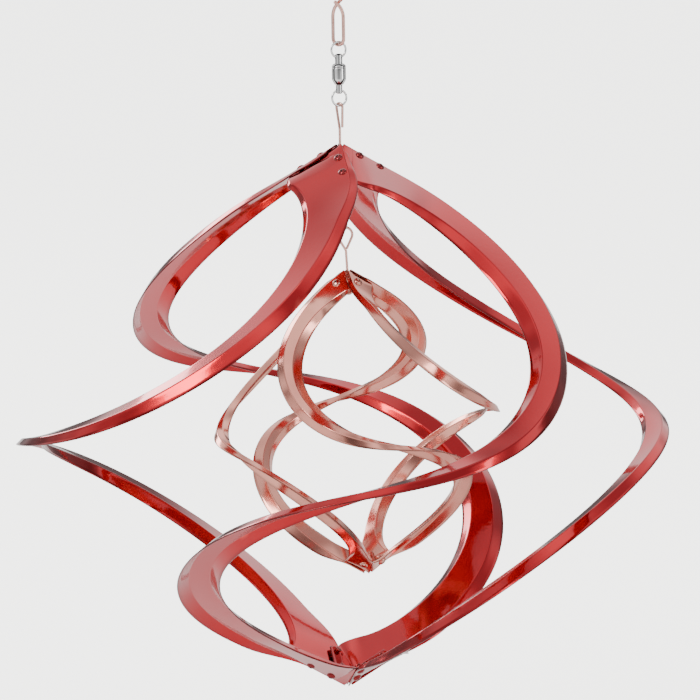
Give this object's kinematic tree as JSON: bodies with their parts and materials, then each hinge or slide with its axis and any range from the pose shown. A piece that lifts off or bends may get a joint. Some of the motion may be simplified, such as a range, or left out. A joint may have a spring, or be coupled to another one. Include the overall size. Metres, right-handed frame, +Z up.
{
  "type": "wind spinner",
  "caption": "Hanging double wind spinner: a small copper cage of S-shaped blades turns inside a large red one, each hung on its own ball-bearing swivel.",
  "frame": {"origin": "the point under the top of the hook's bend that rests on the support, on the spin axis", "axes": "+Z up along the spin axis, +X to the right and +Y away from the viewer in the rest pose"},
  "size_m": [0.3544, 0.3544, 0.3986],
  "materials": {
    "red_lacquer": "gloss candy-red lacquer",
    "red_rivets": "gloss candy-red lacquer",
    "copper_sheet": "mirror-polished copper plating",
    "copper_rivets": "polished copper plating",
    "copper_wire": "bright copper plating",
    "chrome": "bright nickel or chrome plating",
    "bearing_steel": "hardened bearing steel"
  },
  "bodies": {
    "hanger": {"hanger_hook": "copper_wire"},
    "upper_top_ring": {"upper_swivel_top_ring": "chrome"},
    "upper_barrel": {"upper_swivel_top_pin": "chrome", "upper_swivel_barrel": "chrome", "upper_swivel_end_cap": "chrome", "upper_swivel_race": "bearing_steel"},
    "upper_balls": {"upper_swivel_balls": "bearing_steel"},
    "upper_spin_pin": {"upper_swivel_spin_pin": "chrome"},
    "upper_bottom_ring": {"upper_swivel_bottom_ring": "chrome"},
    "outer_spinner": {"outer_wire_eye": "copper_wire", "outer_hub_washer": "chrome", "outer_blade_1": "red_lacquer", "outer_blade_2": "red_lacquer", "outer_blade_3": "red_lacquer", "outer_blade_4": "red_lacquer", "outer_top_rivets": "red_rivets", "outer_bottom_rivets": "red_rivets"},
    "lower_top_ring": {"lower_swivel_top_ring": "chrome"},
    "lower_barrel": {"lower_swivel_top_pin": "chrome", "lower_swivel_barrel": "chrome", "lower_swivel_end_cap": "chrome", "lower_swivel_race": "bearing_steel"},
    "lower_balls": {"lower_swivel_balls": "bearing_steel"},
    "lower_spin_pin": {"lower_swivel_spin_pin": "chrome"},
    "lower_bottom_ring": {"lower_swivel_bottom_ring": "chrome"},
    "inner_spinner": {"inner_wire_eye": "copper_wire", "inner_hub_washer": "chrome", "inner_blade_1": "copper_sheet", "inner_blade_2": "copper_sheet", "inner_blade_3": "copper_sheet", "inner_blade_4": "copper_sheet", "inner_top_rivets": "copper_rivets", "inner_bottom_rivets": "copper_rivets"}
  },
  "joints": [
    {"name": "upper_top_ring_swing", "type": "hinge", "parent": "hanger", "child": "upper_top_ring", "pos_m": [0, 0, -0.04479], "axis": [0.8191, -0.5736, 0], "range_deg": [-15, 15]},
    {"name": "upper_barrel_swing", "type": "hinge", "parent": "upper_top_ring", "child": "upper_barrel", "pos_m": [0, 0, -0.05159], "axis": [0.9063, 0.4226, 0], "range_deg": [-15, 15]},
    {"name": "upper_swivel_spin", "type": "hinge", "parent": "upper_barrel", "child": "upper_spin_pin", "pos_m": [0, 0, -0.06609], "axis": [0, 0, 1], "continuous": true},
    {"name": "upper_ball_roll", "type": "hinge", "parent": "upper_barrel", "child": "upper_balls", "pos_m": [0, 0, -0.06609], "axis": [0, 0, 1], "continuous": true},
    {"name": "upper_bottom_ring_swing", "type": "hinge", "parent": "upper_spin_pin", "child": "upper_bottom_ring", "pos_m": [0, 0, -0.06909], "axis": [0.9063, 0.4226, 0], "range_deg": [-15, 15]},
    {"name": "outer_spinner_swing", "type": "hinge", "parent": "upper_bottom_ring", "child": "outer_spinner", "pos_m": [0, 0, -0.07614], "axis": [0.8191, -0.5736, 0], "range_deg": [-15, 15]},
    {"name": "lower_top_ring_swing", "type": "hinge", "parent": "outer_spinner", "child": "lower_top_ring", "pos_m": [0, 0, -0.11174], "axis": [0.818, -0.5736, 0.0429], "range_deg": [-4, 4]},
    {"name": "lower_barrel_swing", "type": "hinge", "parent": "lower_top_ring", "child": "lower_barrel", "pos_m": [0.00037, 0, -0.11878], "axis": [0.3416, 0.9397, 0.0179], "range_deg": [-4, 4]},
    {"name": "lower_swivel_spin", "type": "hinge", "parent": "lower_barrel", "child": "lower_spin_pin", "pos_m": [0.00113, 0, -0.13326], "axis": [-0.0523, 0, 0.9986], "continuous": true},
    {"name": "lower_ball_roll", "type": "hinge", "parent": "lower_barrel", "child": "lower_balls", "pos_m": [0.00113, 0, -0.13326], "axis": [-0.0523, 0, 0.9986], "continuous": true},
    {"name": "lower_bottom_ring_swing", "type": "hinge", "parent": "lower_spin_pin", "child": "lower_bottom_ring", "pos_m": [0.00128, 0, -0.13625], "axis": [0.3416, 0.9397, 0.0179], "range_deg": [-4, 4]},
    {"name": "inner_spinner_swing", "type": "hinge", "parent": "lower_bottom_ring", "child": "inner_spinner", "pos_m": [0.00165, 0, -0.1433], "axis": [0.9986, 0, 0.0523], "range_deg": [-4, 4]}
  ],
  "couplings": [
    {"joint": "upper_ball_roll", "follows": "upper_swivel_spin", "ratio": 0.5},
    {"joint": "lower_ball_roll", "follows": "lower_swivel_spin", "ratio": 0.5}
  ]
}
